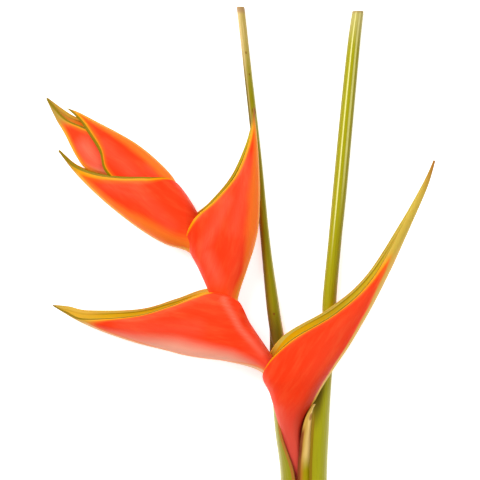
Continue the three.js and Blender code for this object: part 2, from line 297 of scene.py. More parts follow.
stalk_tree, wires = new_tree("flower stalk", TUBE_INPUTS)
end_tree(tube_along(wires, STALK_RIDGE_COUNT))
stalk = spine("flower_stalk_flesh", STALK_PATH)
stalk_finish = material("flower stalk flesh", STALK_GLOSS, paint_stalk)
stalk_values = {
    "Step": STALK_STEP * MM,
    "Sides": STALK_SIDES,
    "Ridges": STALK_RIDGES,
    "Finish": stalk_finish,
}
grow(stalk, stalk_tree, stalk_values)
stalk.data.shade_smooth()
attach(stalk, "root")
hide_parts("flower_stalk")

# ------------------------------------------------------------------------------------------
# Six bracts: stiff, waxy leaves folded along a keel into boats. Each grows out of the stalk,
# wraps round it at its foot, and opens along two thin olive margins towards a long hard tip.

BRACT_WALL = 1.1
KEEL_WALL = 1.8
RIM_THINNING = 0.55  # share of the wall lost at the free margin
THINNEST = 0.3  # share of a narrow bract's depth that one wall may take
KEEL_SHARPNESS = 1.2  # 1 gives an ellipse, more gives a keel like a boat's
CLOSED_GAPE = 175  # degrees from keel to margin where a bract is wrapped round the stalk
OPEN_GAPE = 106  # degrees from keel to margin along the open boat
OPENING_LENGTH = 1.6  # stations over which the wrapped foot opens into the boat
ROWS_PER_STATION = 12
CHEEK_COLUMNS = 34
EDGE_STEPS = 3
CAP_LINES = (0.22, 0.78)  # shares of the wall at which lines cross a cut end
SHARP_ANGLE = 50
SWELL = 0.028  # share of the thickness by which the cheeks swell and sink
SWELL_LENGTH = 17.0
VEIN_HEIGHT = 0.035
VEINS = 8
VEIN_DEPTH = 6  # half thickness from which the veins stand at their full height
HAIR = 0.2  # mm added to a distance, so that a band of no width does not show at all
LEAST_WIDTH = 0.02
AHEAD = 0.01  # stations ahead, to find the way a bract is heading
CHEEK_SHIFT = 7  # keeps the streaks of one cheek from mirroring the other's
TINY = 1e-9

# Stations, in mm from the middle: keel x, y, near margin x, y, height, half thickness, far lift.
# Paint, at places counted in stations: the widths in mm of the keel line, of the glow beside it,
# of the olive margin and of the amber line within it, then how tan the limb is, the width of the
# zone at the keel, and its tone, which is pale above 0 and deep below. The pale tone is partly the
# bract's own paler colour and partly painted light; the deep tone is partly deeper red and partly
# painted shade where the cheek turns away from the light.
# Shades: the keel line, the limb, its tip, the foot, and inside, the rim and the lining.
# Painted highlights: paths along which paler, pinker flesh is painted where the gloss catches the
# light, each with its half width in mm and its strength.
BRACTS = [
    {
        "mouth_at": 2.5,
        "stations": [
            [40.5, -129, 28.5, -129, 11.8, 5.7, 0], [34.5, -97, 21.7, -96, 14, 6.6, 0],
            [42, -78, 16.5, -77, 17.5, 9, 0], [50.5, -63.5, 12.5, -64, 19.5, 11, 0],
            [60.4, -48.2, 26, -47, 20, 11.2, 3.4], [72, -28.8, 52, -31, 19.5, 9, 3.4],
            [83.4, -6.2, 71.5, -13, 18.8, 6.3, 2.9], [95, 19.5, 89.5, 17.5, 18, 3.2, 1.4],
            [103, 38, 101, 39.5, 17.2, 1.3, 0.6], [107, 51.5, 106, 52, 16.8, 0.5, 0],
        ],
        "paint": [
            [0, 0.2, 0.3, 0, 0.2, 0, 7, -0.5], [1, 0.2, 0.3, 0, 0.2, 0, 9, -0.7],
            [2, 1.2, 1.5, 0, 0, 0, 10, -0.9], [2.8, 1.3, 1.8, 0, 0, 0, 10, -0.8],
            [3.3, 1.5, 2, 0, 0.7, 0, 9, -0.6], [4, 1.6, 2, 0.9, 1.7, 0, 7, -0.4],
            [5, 2.1, 3.2, 1.5, 1.9, 0, 5, -0.1], [5.5, 3.4, 5, 1.4, 2.4, 0, 5, 0],
            [6, 4.4, 7.5, 1.1, 3.4, 0.1, 5, 0], [6.5, 6, 9, 0.4, 5, 0.7, 5, 0],
            [7, 7, 9, 0, 5, 1, 5, 0], [9, 7, 9, 0, 6, 1, 5, 0],
        ],
        "shades": [
            (224, 176, 72), (206, 176, 68), (176, 116, 40),
            (222, 80, 66), (224, 216, 96), (204, 186, 30),
        ],
        "sheen": [([(22, -84), (27, -108), (29, -122)], 3.5, 0.4), ([(58, -24), (76, 4)], 7, 0.15)],
    },
    {
        "mouth_at": 1.7,
        "stations": [
            [18.5, -76, 30, -71, 19, 5.4, 0], [11.5, -64, 17, -54, 18.8, 6.2, 0],
            [-7, -58.5, 6, -38, 16.5, 8.5, 0], [-26, -56, -1.5, -25, 14, 10.6, 0],
            [-41, -52.5, -17, -20.5, 11.4, 10.9, 1.8], [-57, -48.5, -36, -27, 10.6, 9.3, 2.9],
            [-74, -43, -56, -33, 10, 6.8, 3.3], [-88, -37, -85, -35, 9.6, 3.6, 4.8],
            [-97, -32, -96, -31, 9.4, 1.8, 3], [-103.5, -28, -103, -27.5, 9.2, 0.5, 0],
        ],
        "paint": [
            [0, 1.6, 2.6, 0, 0, 0, 3, 0.2], [1, 1.8, 3.4, 0, 0, 0, 5, 0.6],
            [2, 0.5, 1, 0, 0, 0, 11, 0.95], [3, 0.5, 0.9, 0, 0, 0, 14, 1],
            [3.8, 0.5, 0.9, 0, 0, 0, 14, 1], [4.3, 0.5, 1, 0.2, 1.9, 0, 13, 0.9],
            [5, 0.8, 1.6, 0.9, 1.6, 0, 11, 0.7], [6, 1, 2.2, 1.2, 1.8, 0, 8, 0.5],
            [7, 1.8, 3.2, 1.3, 3.4, 0.7, 4, 0.2], [9, 3, 4, 0.9, 4, 1, 3, 0],
        ],
        "shades": [
            (250, 188, 138), (222, 172, 62), (176, 138, 56),
            (244, 74, 50), (216, 190, 78), (222, 186, 26),
        ],
        "sheen": [([(-9, -24), (0, -40), (12, -53.5)], 2.6, 0.9), ([(-64, -41), (-24, -40)], 8, 0.25)],
    },
    {
        "mouth_at": 2.5,
        "stations": [
            [-0.8, -36, -13, -40, 15.6, 5.2, 0], [-1, -24, -16, -24, 15.2, 6.6, 0],
            [3.5, -9, -22.5, -8.5, 14.8, 9.2, 0], [8, 5, -29.5, 7, 14.4, 10.8, 0],
            [10.5, 18, -25, 19.5, 14.2, 10.9, 2], [11, 34, -14, 29.5, 13.8, 9.2, 2.6],
            [10.5, 50, -3, 42.5, 13.4, 6.6, 2.7], [9.5, 63.5, 3.5, 57.5, 13, 3.9, 1.8],
            [8.5, 73.5, 6.5, 70, 12.7, 1.8, 0.8], [8, 81.5, 7.5, 81.5, 12.5, 0.5, 0],
        ],
        "paint": [
            [0, 2.2, 4.6, 0, 0, 0, 4, 0], [1, 1.6, 4.4, 0, 0, 0, 4, 0],
            [2, 0.7, 2.6, 0, 0, 0, 4, 0], [3, 0.7, 5.5, 0, 0, 0, 4, 0],
            [3.5, 0.7, 7, 0, 1, 0, 4, 0], [4, 0.7, 7.5, 0, 1.4, 0, 4, 0],
            [5, 0.8, 7, 0, 1.5, 0, 4, 0], [6, 0.9, 5, 0, 1.8, 0, 4, 0],
            [7, 1.2, 3.2, 0, 2.4, 0.1, 3, 0], [9, 2.2, 3, 0.8, 4, 1, 3, 0],
        ],
        "shades": [
            (250, 152, 34), (236, 158, 54), (156, 84, 30),
            (252, 74, 22), (204, 194, 48), (186, 170, 8),
        ],
        "sheen": [
            ([(-6, 30), (-20, 4)], 5, 0.35),
            ([(5, 52), (-3, 14)], 6, 0.25),
            ([(-18, 0), (-12, -14)], 6, 0.45),
        ],
    },
    {
        "mouth_at": 2.5,
        "stations": [
            [-21, -5, -10.5, -1, 14, 5, 0], [-29, 2, -18.5, 13, 13.3, 6.6, 0],
            [-41, 6, -26, 28, 12, 8.8, 0], [-53.4, 13.1, -36.5, 41, 10.6, 10, 0],
            [-63.7, 20.3, -50, 42.5, 9.8, 9.4, 1], [-74.7, 29.3, -65, 43, 9.6, 7, 1],
            [-84.8, 38.7, -79, 45, 9.4, 4.6, 1], [-93, 47.7, -90.5, 49.5, 9.2, 2.2, 0.5],
            [-100.3, 57.3, -99.5, 58, 9, 0.5, 0],
        ],
        "paint": [
            [0, 3, 6, 0, 0, 0, 4, 0], [1, 1.8, 8, 0, 0, 0, 4, 0],
            [2, 0.6, 8.5, 0, 0, 0, 6, 0.1], [3, 0.8, 8, 0, 0.3, 0, 7, 0.15],
            [3.5, 0.8, 7, 0.4, 1.6, 0, 7, 0.15], [4, 0.9, 5.5, 1, 2.2, 0, 6, 0.1],
            [5, 1.1, 4, 1.5, 2.6, 0, 4, 0], [6, 1.3, 3.4, 1.7, 3.4, 0.1, 3, 0],
            [7, 1.8, 3.4, 1.7, 4, 0.8, 3, 0], [8, 2, 3, 1.6, 4, 1, 3, 0],
        ],
        "shades": [
            (252, 166, 40), (222, 160, 20), (142, 112, 44),
            (254, 116, 12), (190, 150, 20), (236, 130, 20),
        ],
        "sheen": [([(-58, 36), (-38, 16)], 6, 0.2), ([(-74, 38), (-56, 32)], 5, 0.2)],
    },
    {
        "mouth_at": 1.5,
        "stations": [
            [-32, 31.5, -42, 26, 12.2, 4, 0], [-36.6, 42.4, -52, 30, 11.2, 5, 0],
            [-46.2, 52.6, -63.5, 36, 10, 6, 0], [-57.2, 61.5, -74, 46, 9.6, 6.2, 0],
            [-68.2, 68, -77, 56.5, 10, 5.6, 0.7], [-79.3, 73.8, -83, 66.5, 10.8, 3.8, 0.7],
            [-88.5, 78.5, -88.5, 74.5, 11.4, 2, 0], [-95.5, 81, -95, 80.5, 11.6, 0.5, 0],
        ],
        "paint": [
            [0, 0.8, 4, 0.8, 1.1, 0, 5, 0.1], [1, 0.6, 5.5, 0.9, 1.2, 0, 6, 0.3],
            [2, 0.6, 5.5, 1.2, 1.5, 0, 6, 0.25], [3, 0.7, 5, 1.4, 1.8, 0, 5, 0.1],
            [4, 0.8, 3.6, 1.7, 2.2, 0, 3, 0], [5, 0.9, 2.6, 1.8, 2.6, 0, 3, 0],
            [6, 1, 1.6, 1.8, 3, 0.3, 3, 0], [7, 1.4, 2, 1.8, 3.2, 1, 3, 0],
        ],
        "shades": [
            (254, 150, 30), (232, 156, 50), (170, 122, 50),
            (254, 92, 34), (170, 140, 20), (236, 130, 20),
        ],
        "sheen": [([(-74, 60), (-56, 42)], 6, 0.25), ([(-50, 48), (-42, 38)], 5, 0.2)],
    },
    {
        "mouth_at": 1.5,
        "stations": [
            [-61, 40.5, -55.5, 46, 10, 2.6, 0], [-73, 43, -62.5, 54.5, 9.4, 3.4, 0],
            [-84.3, 47, -71, 62.5, 8.9, 3.8, 0], [-90.6, 54.9, -78, 68, 8.6, 3.6, 1],
            [-97.1, 67.4, -86, 70.5, 8.4, 2.8, 4.6], [-101.6, 74.9, -96.5, 75.5, 8.4, 2, 4],
            [-107, 86.2, -106.2, 86.8, 8.6, 0.5, 0],
        ],
        "paint": [
            [0, 0.8, 3, 0, 0.3, 0, 5, 0.6], [1, 0.8, 3, 0.2, 0.8, 0, 7, 0.8],
            [2, 0.9, 3, 1, 1.6, 0, 6, 0.5], [3, 1.1, 2.6, 1.4, 2.2, 0, 4, 0.1],
            [4, 1.3, 2.6, 1.6, 2.8, 0.3, 3, 0], [6, 1.4, 2.4, 1.6, 3, 1, 3, 0],
        ],
        "shades": [
            (252, 164, 44), (186, 150, 62), (168, 142, 66),
            (254, 104, 56), (222, 164, 44), (242, 120, 24),
        ],
        "sheen": [([(-86, 60), (-78, 50)], 7, 0.8)],
    },
]
OWN_SHADES = ("keel", "limb", "tip", "foot", "rim", "lining")
BRACT_SHADES = {
    "flesh": (253, 58, 20),
    "bright": (255, 92, 46),
    # painted highlight: pale pink flesh where the gloss catches the light
    "sheen": (255, 118, 92),
    "deep": (184, 40, 10),
    "pale": (254, 172, 146),
    "glow": (255, 126, 36),
    "halo": (254, 106, 16),
    "amber": (246, 156, 4),
    "olive": (138, 116, 0),
    "yellow": (240, 190, 8),
    "inner_flesh": (226, 92, 14),
}


def along_stations(stations, place):
    """Values at places along a list of stations, on a smooth curve through all of them."""
    table = np.array(stations, float)
    low = np.minimum(place.astype(int), len(table) - 2)
    share = (place - low)[:, None]
    start, end = table[low], table[low + 1]
    slope_start = (end - table[np.maximum(low - 1, 0)]) / 2
    slope_end = (table[np.minimum(low + 2, len(table) - 1)] - start) / 2
    cube = 2 * start - 2 * end + slope_start + slope_end
    square = 3 * end - 3 * start - 2 * slope_start - slope_end
    return ((cube * share + square) * share + slope_start) * share + start


def bract_sheet(bract, side, place, turn, wall, keel_wall):
    """Points across a bract, from near margin round the keel to far margin, a wall further in."""
    s = along_stations(bract["stations"], place)
    ahead = along_stations(bract["stations"], place + AHEAD)
    heading = ahead[:, :2] - s[:, :2]
    heading /= np.linalg.norm(heading, axis=1, keepdims=True)
    outward = np.stack([-heading[:, 1], heading[:, 0]], 1) * side * s[:, 6:7]
    opened = np.clip((place - bract["mouth_at"]) / OPENING_LENGTH, 0, 1)
    opened = opened * opened * (3 - 2 * opened)
    gape = np.radians(CLOSED_GAPE + (OPEN_GAPE - CLOSED_GAPE) * opened)[:, None]
    wrapped = np.maximum(-np.cos(gape), 0)
    angle = np.abs(turn)[None, :] * gape
    keel = s[:, None, 0:2]
    rim = s[:, None, 2:4] + outward[:, None, :] * (turn > 0)[None, :, None]
    depth = np.linalg.norm(rim - keel, axis=2)
    share = (1 - np.cos(angle)) / (1 - np.cos(gape))
    near = np.minimum(keel_wall, depth * THINNEST)
    far = depth - np.minimum(wall * wrapped, depth * THINNEST)
    spot = keel + (rim - keel) * ((near + (far - near) * share) / depth)[..., None]
    thinning = RIM_THINNING * turn[None, :] ** 4 if wall else 0
    half = s[:, 5:6] - np.minimum(wall * (1 - thinning), s[:, 5:6] / 2)
    height = s[:, 4:5] - np.sign(turn) * half * np.sin(angle) ** KEEL_SHARPNESS
    return np.dstack([spot, height])


def swollen(outer, inner, amounts):
    """Both faces of a wall, moved together along the outer face's normals."""
    normals = np.cross(np.gradient(outer, axis=0), np.gradient(outer, axis=1))
    normals /= np.maximum(np.linalg.norm(normals, axis=2, keepdims=True), TINY)
    shift = normals * amounts[..., None]
    return outer + shift, inner + shift


def cloud(points, length):
    """Soft noise from -1 to 1 at points, with swells of about the given length."""
    flat = points.reshape(-1, 3) / length
    return np.array([noise.noise(Vector(p)) for p in flat]).reshape(points.shape[:-1])


def rounded_edge(outer, before, inner):
    """Points round the free edge of a wall, from its outer to its inner face."""
    middle = (outer + inner) / 2
    arm = outer - middle
    ahead = outer - before
    ahead -= arm * (np.sum(ahead * arm, 1) / np.maximum(np.sum(arm * arm, 1), TINY))[:, None]
    ahead /= np.maximum(np.linalg.norm(ahead, axis=1, keepdims=True), TINY)
    ahead *= np.linalg.norm(arm, axis=1, keepdims=True)
    turns = np.pi * np.arange(1, EDGE_STEPS + 1) / (EDGE_STEPS + 1)
    steps = [middle + arm * np.cos(turn) + ahead * np.sin(turn) for turn in turns]
    return np.stack(steps, 1)


def round_the_wall(outer, inner):
    """Values on both faces of a wall as one loop round it, with those on its edges between."""
    shares = np.arange(1, EDGE_STEPS + 1) / (EDGE_STEPS + 1)
    if outer.ndim > 2:
        shares = shares[:, None]
    last = outer[:, None, -1] * (1 - shares) + inner[:, None, -1] * shares
    first = inner[:, None, 0] * (1 - shares) + outer[:, None, 0] * shares
    return np.concatenate([outer, last, inner[:, ::-1], first], 1)


def wall_piece(name, outer, inner, fields, bulge):
    """A closed wall between two faces, with rounded edges and slightly domed ends."""
    rows, columns = outer.shape[:2]
    loop = round_the_wall(outer, inner)
    edge = slice(columns, columns + EDGE_STEPS)
    loop[:, edge] = rounded_edge(outer[:, -1], outer[:, -2], inner[:, -1])
    loop[:, 2 * columns + EDGE_STEPS :] = rounded_edge(inner[:, 0], inner[:, 1], outer[:, 0])
    around = loop.shape[1]
    points = [loop.reshape(-1, 3)]
    index = np.arange(rows * around).reshape(rows, around)
    a, b = index[:-1], index[1:]
    sides = np.stack([a, np.roll(a, -1, 1), np.roll(b, -1, 1), b], -1).reshape(-1, 4)
    faces = sides.tolist()
    held = {key: [round_the_wall(*pair).reshape(rows * around, -1)] for key, pair in fields.items()}
    held["cut"] = [np.zeros((rows * around, 1))]
    count = rows * around
    for row, beyond in ((0, 1), (rows - 1, rows - 2)):
        first = index[row, :columns]
        second = index[row, columns + EDGE_STEPS : 2 * columns + EDGE_STEPS][::-1]
        out = outer[row] - outer[beyond]
        out *= bulge / np.maximum(np.linalg.norm(out, axis=1, keepdims=True), TINY)
        lines = [first]
        for share in CAP_LINES:
            points.append(outer[row] * (1 - share) + inner[row] * share + out)
            for key, (on_outer, on_inner) in fields.items():
                held[key].append((on_outer[row] * (1 - share) + on_inner[row] * share).reshape(columns, -1))
            held["cut"].append(np.ones((columns, 1)))
            lines.append(np.arange(count, count + columns))
            count += columns
        lines.append(second)
        caps = []
        for low, high in zip(lines, lines[1:]):
            caps += np.stack([low[:-1], high[:-1], high[1:], low[1:]], -1).tolist()
        edge_last = index[row, columns : columns + EDGE_STEPS].tolist()
        edge_first = index[row, 2 * columns + EDGE_STEPS :].tolist()
        caps.append([first[-1], *[line[-1] for line in lines[1:3]], second[-1], *edge_last[::-1]])
        caps.append([second[0], *[line[0] for line in lines[2:0:-1]], first[0], *edge_first[::-1]])
        faces += caps
    piece = new_piece(name, np.concatenate(points), [], [[int(i) for i in face] for face in faces])
    for key, parts in held.items():
        values = np.concatenate(parts)
        hold(piece, key, values if values.shape[1] == 3 else values[:, 0])
    shell = bmesh.new()
    shell.from_mesh(piece.data)
    bmesh.ops.recalc_face_normals(shell, faces=shell.faces)
    shell.to_mesh(piece.data)
    shell.free()
    piece.data.shade_smooth()
    piece.data.set_sharp_from_angle(angle=math.radians(SHARP_ANGLE))
    return piece


def bract_fields(bract, place, turn, outer):
    """What the paint needs to know at each point, the same on both faces of the wall."""
    steps = np.linalg.norm(np.diff(outer, axis=1), axis=2)
    reach = np.concatenate([np.zeros((len(place), 1)), np.cumsum(steps, 1)], 1)
    keel_column = len(turn) // 2
    from_keel = np.linalg.norm(outer[..., :2] - outer[:, keel_column : keel_column + 1, :2], axis=2)
    round_keel = np.abs(reach - reach[:, keel_column : keel_column + 1])
    from_rim = np.minimum(reach, reach[:, -1:] - reach)
    paint = np.array(bract["paint"], float)
    widths = [np.interp(place, paint[:, 0], paint[:, i])[:, None] for i in range(1, 8)]
    tone = widths.pop()
    keel, glow, olive, amber, tan, zone = (np.maximum(width, LEAST_WIDTH) for width in widths)
    whole = np.ones_like(from_keel)
    lengths = np.linalg.norm(np.diff(outer[:, keel_column], axis=0), axis=1)
    travelled = np.concatenate([[0], np.cumsum(lengths)])[:, None] * whole
    sign = np.sign(turn)[None, :]
    fall = np.clip(1 - from_keel / zone, 0, 1)
    sheen = 0 * whole
    # Painted highlight: strongest on the paths, fading out over each half width
    for path, width, strength in bract["sheen"]:
        ends = np.array(path, float)
        for start, end in zip(ends, ends[1:]):
            along = np.clip((outer[..., :2] - start) @ (end - start) / np.sum((end - start) ** 2), 0, 1)
            gap = np.linalg.norm(outer[..., :2] - start - along[..., None] * (end - start), axis=2)
            sheen = np.maximum(sheen, np.clip(1 - gap / width, 0, 1) * strength)
    return {
        "keel_share": from_keel / keel,
        "glow_share": from_keel / glow,
        "olive_share": (from_rim + HAIR) / olive,
        "amber_share": (from_rim + HAIR) / amber,
        "from_rim": from_rim,
        "near": (turn < 0)[None, :] * whole,
        "tan": (tan - LEAST_WIDTH) * whole,
        # zones at the keel: partly the bract's own colour, partly painted light and painted shade
        "pale": fall * np.maximum(tone, 0),
        "deep": fall * np.maximum(-tone, 0),
        "sheen": sheen,
        "along": (place / place[-1])[:, None] * whole,
        "fibre": np.stack([round_keel * sign, travelled, whole * sign * CHEEK_SHIFT], -1),
    }


# Layers of colour, each over those before it: its colour, how strong it is, and what it goes by,
# with the two ends of its rise, the four of its rise and fall, or none for a measure as it is.
BRACT_LAYERS = [
    ("bright", 0.55, {"broad": (0.4, 0.8)}),
    ("deep", 0.12, {"fine": (0.5, 0.85)}),
    # painted highlight along the paths, broken up by the fibres
    ("sheen", 1, {"sheen": ()}),
    ("foot", 1, {"along": (0.24, 0.05)}),
    # zones at the keel: the deeper red is partly painted shade, the paler flesh partly painted light
    ("deep", 1, {"deep": (0.02, 0.95)}),
    ("pale", 1, {"pale": (0.05, 0.85)}),
    ("glow", 0.85, {"glow_share": (1.25, 0.45)}),
    ("halo", 0.75, {"amber_share": (2.4, 0.9)}),
    ("amber", 1, {"amber_share": (1.35, 0.7)}),
    ("keel", 1, {"keel_share": (1.3, 0.8)}),
    ("dried", 1, {"tan": (0.25, 0.75)}),
    ("olive", 1, {"olive_share": (1.2, 0.85), "near": ()}),
    ("lining", 1, {"inside": ()}),
]
LINING_LAYERS = [
    ("yellow", 1, {"along": (0.56, 0.44)}),
    ("inner_flesh", 1, {"from_rim": (7, 14)}),
    ("inner_flesh", 1, {"along": (0.44, 0.34)}),
    ("glow", 0.25, {"fine": (0.5, 0.85)}),
    ("olive", 0.6, {"from_rim": (2.2, 2.6, 3.4, 4.2), "along": (0.44, 0.54)}),
    ("rim", 1, {"ragged_rim": (2.7, 2.1), "along": (0.36, 0.46)}),
    ("dried", 0.6, {"tan": (0.25, 0.75)}),
]
# How ragged the edges are of the layers that go by each measure
RAGGED = {"deep": 0.15, "pale": 0.2, "glow_share": 1, "amber_share": 0.4}
RAGGED |= {"keel_share": 0.7, "tan": 0.4, "olive_share": 0.3}
RAGGED_RIM = 0.3
TIP_REACH = (0.82, 0.99)
FIBRE_STRETCH = (2.2, 0.09, 1)
CLOUD_STRETCH = (0.22, 0.045, 1)
RAGGEDNESS = 0.55
PAINTED_HIGHLIGHT_BASE = 0.35
BRACT_ROUGHNESS = {"least": 0.26, "fibre": 0.16, "tan": 0.12}
BRACT_RELIEF = 0.16  # mm
BRACT_GLOSS = {
    "Specular IOR Level": 0.3,
    "Specular Tint": (1, 0.5, 0.25, 1),
    "Subsurface Weight": 0.06,
    "Subsurface Scale": 0.002,
}


def layered(colour, layers, measures, tones):
    """A colour under layers, each as strong as the product of its measures makes it."""
    for tone, most, ranges in layers:
        masks = [measures[name].through(ends) for name, ends in ranges.items()]
        over = tones[tone] if tone in tones else shade(tone)
        colour = math.prod(masks, start=most).mix(colour, over)
    return colour


def paint_bract(shades):
    """The paint of one bract, with its own shades."""
    tones = {key: shade(value) for key, value in {**BRACT_SHADES, **shades}.items()}

    def paint(start):
        fine = start.streaks(FIBRE_STRETCH, 4.0)
        broad = start.streaks(CLOUD_STRETCH)
        ragged = (fine - 0.5) * RAGGEDNESS
        measures = {name: start.field(name) for name in ("along", "from_rim", "near", "inside")}
        measures |= {name: start.field(name) + ragged * rough for name, rough in RAGGED.items()}
        measures |= {"fine": fine, "broad": broad}
        measures["ragged_rim"] = measures["from_rim"] + ragged * RAGGED_RIM
        measures["sheen"] = start.field("sheen") * (fine + PAINTED_HIGHLIGHT_BASE)
        dried = measures["along"].rise(*TIP_REACH).mix(tones["limb"], tones["tip"])
        shown = {**tones, "dried": dried}
        shown["lining"] = layered(tones["lining"], LINING_LAYERS, measures, shown)
        colour = layered(tones["flesh"], BRACT_LAYERS, measures, shown)
        rough = BRACT_ROUGHNESS
        roughness = fine * rough["fibre"] + start.field("tan") * rough["tan"] + rough["least"]
        return colour, roughness, fine * 0.7 + broad * 0.3, BRACT_RELIEF

    return paint


turns = np.linspace(-1, 1, 2 * CHEEK_COLUMNS + 1)
for number, bract in enumerate(BRACTS, 1):
    side = 1 if number % 2 else -1
    spans = len(bract["stations"]) - 1
    place = np.linspace(0, spans, spans * ROWS_PER_STATION + 1)
    outer = bract_sheet(bract, side, place, turns, 0, 0)
    inner = bract_sheet(bract, side, place, turns, BRACT_WALL, KEEL_WALL)
    fields = bract_fields(bract, place, turns, outer)
    half = along_stations(bract["stations"], place)[:, 5:6]
    swell = cloud(outer, SWELL_LENGTH) * SWELL * half
    veins = VEIN_HEIGHT * np.cos(turns * VEINS * 2 * np.pi)[None, :] * np.minimum(half / VEIN_DEPTH, 1)
    outer, inner = swollen(outer, inner, swell + veins)
    pairs = {key: (value, value) for key, value in fields.items()}
    pairs["inside"] = (np.zeros(outer.shape[:2]), np.ones(outer.shape[:2]))
    piece = wall_piece(f"bract_{number}_flesh", outer, inner, pairs, 0)
    shades = dict(zip(OWN_SHADES, bract["shades"]))
    piece.data.materials.append(material(f"bract {number} flesh", BRACT_GLOSS, paint_bract(shades)))
    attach(piece, "root")
    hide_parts(f"bract_{number}")

# ------------------------------------------------------------------------------------------
# Flower buds: slim three-sided spindles of pale, closed tepals on short stalks. They stand in
# the hollows of the open bracts, where they wait to push out past the margins.

BUD_GIRTH = 2.3
BUD_BEND = 1.1
# Shares of the length and of the girth, from the stalk to the tip
BUD_PROFILE = [(0, 0.4), (0.08, 0.42), (0.16, 0.62), (0.32, 0.95)]
BUD_PROFILE += [(0.52, 1), (0.72, 0.8), (0.88, 0.46), (0.97, 0.2)]
BUD_POINT = (0.995, 0.12)  # share of the length, and girth in mm
BUD_STEP = 0.5
BUD_SIDES = 30
BUD_RIDGES = 0.07
BUD_RIDGE_COUNT = 3
BUD_END = 9  # points of the plain bud that are taken as one of its ends
BUD_SHADES = {"foot": (238, 222, 168), "body": (226, 214, 128), "tip": (142, 168, 70)}
BUD_GLOSS = {"Specular IOR Level": 0.5, "Subsurface Weight": 0.1}
BUD_GRAIN = 700.0
BUD_BODY = (0.05, 0.5)
BUD_TIP = (0.65, 1.1)
BUD_RELIEF = 0.1  # mm


def paint_bud(start):
    along = start.field("along")
    fleck = start.speckle(BUD_GRAIN)
    body = (along + fleck * 0.2).rise(*BUD_BODY)
    colour = body.mix(shade(BUD_SHADES["foot"]), shade(BUD_SHADES["body"]))
    colour = (along + fleck * 0.25).rise(*BUD_TIP).mix(colour, shade(BUD_SHADES["tip"]))
    return colour, fleck * 0.2 + 0.3, fleck, BUD_RELIEF


bud_tree, wires = new_tree("flower bud", TUBE_INPUTS)
end_tree(tube_along(wires, BUD_RIDGE_COUNT))
bud_finish = material("flower bud", BUD_GLOSS, paint_bud)
bud_values = {"Step": BUD_STEP * MM, "Sides": BUD_SIDES, "Ridges": BUD_RIDGES, "Finish": bud_finish}
for node_name in sorted(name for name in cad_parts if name.startswith("flower_bud")):
    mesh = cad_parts[node_name].data
    spots = np.array([v.co for v in mesh.vertices]) / MM - np.array(MIDDLE) / MM
    centre = spots.mean(0)
    longest = np.linalg.svd(spots - centre, full_matrices=False)[2][0]
    reach = (spots - centre) @ longest
    ends = [centre + longest * reach.min(), centre + longest * reach.max()]
    in_order = spots[np.argsort(reach)]
    first_spread = np.ptp(in_order[:BUD_END], axis=0).max()
    last_spread = np.ptp(in_order[-BUD_END:], axis=0).max()
    foot, tip = ends if first_spread >= last_spread else ends[::-1]
    path = []
    for share, girth in BUD_PROFILE:
        spot = foot + (tip - foot) * share
        spot[2] += BUD_BEND * math.sin(math.pi * share)
        path.append([*spot, girth * BUD_GIRTH])
    path.append([*(foot + (tip - foot) * BUD_POINT[0]), BUD_POINT[1]])
    bud = spine(f"{node_name}_tepals", path)
    grow(bud, bud_tree, bud_values)
    bud.data.shade_smooth()
    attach(bud, "root")
    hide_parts(node_name)

# ------------------------------------------------------------------------------------------
# Two leaf stalks: each is the foot of a leaf, rolled into a ribbed, grooved rod above, and spread
# below into a sheath that clasps the stem. The blades are cut off across the tops of the rods.

# Stations: y, x, z, radius across, radius up, first angle, last angle, wall; angles in degrees
# from +X towards +Z
LEAVES = {
    "leaf_stalk_left": [
        [CUT_Y, 35, 11.6, 12.6, 11.6, 115, 262, 2], [-118, 34.6, 11.6, 12.5, 11.6, 122, 262, 2],
        [-98, 31.5, 11, 12, 11, 145, 266, 1.5], [-82, 27, 9, 8.9, 9, 147, 300, 2.3],
        [-62, 22.5, 5, 6, 5, 178, 410, 2.6], [-43, 20.1, 4.1, 4.1, 4.1, 206, 505, 3],
        [-25, 17.8, 3.5, 3.5, 3.5, 216, 548, 2.6], [8, 14, 2.6, 2.6, 2.6, 218, 552, 2],
        [56, 9.4, 2.4, 2.4, 2.4, 218, 552, 1.9], [107, 3.7, 2.2, 2.2, 2.2, 218, 552, 1.7],
        [137.5, 0.3, 2.2, 2.2, 2.2, 218, 552, 1.7],
    ],
    "leaf_stalk_right": [
        [CUT_Y, 35, 11.6, 12.6, 11.6, -92, 72, 2], [-116, 35.2, 11.6, 12.7, 11.6, -92, 73, 2],
        [-98, 36.5, 11.4, 12.3, 11.4, -95, 75, 2.1], [-84, 38.5, 10, 11, 10, -108, 80, 2.3],
        [-65, 44, 6.4, 7, 6.4, -125, 120, 2.6], [-45, 49.3, 4.3, 4.4, 4.3, -140, 175, 3],
        [-25, 49.6, 3.9, 3.9, 3.9, -146, 190, 3], [8, 52.6, 3.7, 3.7, 3.7, -148, 192, 2.9],
        [36, 55.3, 3.9, 3.9, 3.9, -148, 192, 3], [80, 59.4, 3.8, 3.8, 3.8, -148, 192, 3],
        [118, 63.2, 3.5, 3.5, 3.5, -148, 192, 2.8], [135, 65.4, 3.2, 3.2, 3.2, -148, 192, 2.5],
    ],
}
LEAF_ROW = 2.0
LEAF_GLOSS = {"Specular IOR Level": 0.3, "Specular Tint": (1, 0.92, 0.3, 1)}
LEAF_COLUMNS = 110
LEAF_RIBS = 17
RIB_HEIGHT = 0.07
